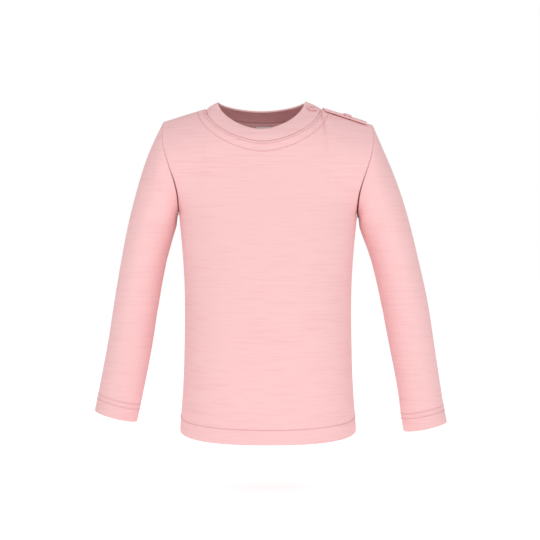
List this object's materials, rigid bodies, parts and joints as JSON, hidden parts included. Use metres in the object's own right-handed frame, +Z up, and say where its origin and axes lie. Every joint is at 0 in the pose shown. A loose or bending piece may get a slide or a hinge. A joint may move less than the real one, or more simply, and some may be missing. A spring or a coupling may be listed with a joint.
{
  "type": "long-sleeve t-shirt",
  "caption": "Small child's plain pink long-sleeve jersey t-shirt, filled out as worn, with a round neckband and a snap opening on the wearer's left shoulder.",
  "frame": {"origin": "between the wearer's shoulders, at the height of the shoulder seams beside the neck", "axes": "+Z up, the front faces -Y, the wearer's left is +X"},
  "size_m": [0.3628, 0.1385, 0.3434],
  "materials": {
    "jersey": "fine single jersey, matt",
    "snap": "enamelled ring snap",
    "label": "smooth white woven tape, blank"
  },
  "bodies": {
    "root": {"front": "jersey", "back": "jersey", "sleeve_left": "jersey", "sleeve_right": "jersey", "neckband": "jersey", "shoulder_placket": "jersey", "shoulder_underlap": "jersey", "snap_neckband": "snap", "snap_shoulder": "snap", "neck_label": "label"}
  },
  "joints": []
}
